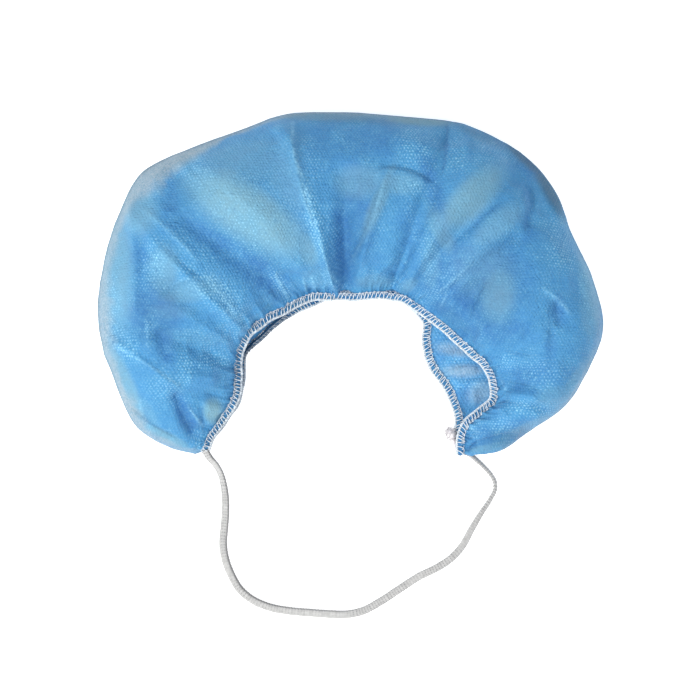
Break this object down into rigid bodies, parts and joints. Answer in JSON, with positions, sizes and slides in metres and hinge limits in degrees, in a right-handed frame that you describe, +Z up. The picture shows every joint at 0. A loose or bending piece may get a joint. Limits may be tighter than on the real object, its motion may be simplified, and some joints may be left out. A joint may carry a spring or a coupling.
{
  "type": "beard cover",
  "caption": "Disposable beard cover: a gathered nonwoven pouch with an overlocked elastic mouth and a thin elastic head loop, lying flat.",
  "frame": {"origin": "on the surface that the cover lies on, under the middle of the box round the pouch, its elastic edge and the elastic's cut end", "axes": "+Z up out of the surface, +Y from the mouth towards the closed fold, +X towards the corner where the elastic's cut end is"},
  "size_m": [0.2124, 0.2132, 0.0421],
  "materials": {
    "nonwoven": "thin matt spunbond nonwoven with a fine dot emboss, half see-through",
    "overlock": "matt white overlock thread over a thin elastic, with the blue cloth showing between the stitches",
    "elastic": "matt white flat knitted elastic"
  },
  "bodies": {
    "root": {"pouch": "nonwoven", "opening_hem": "overlock", "head_loop": "elastic", "elastic_tail": "elastic"}
  },
  "joints": []
}
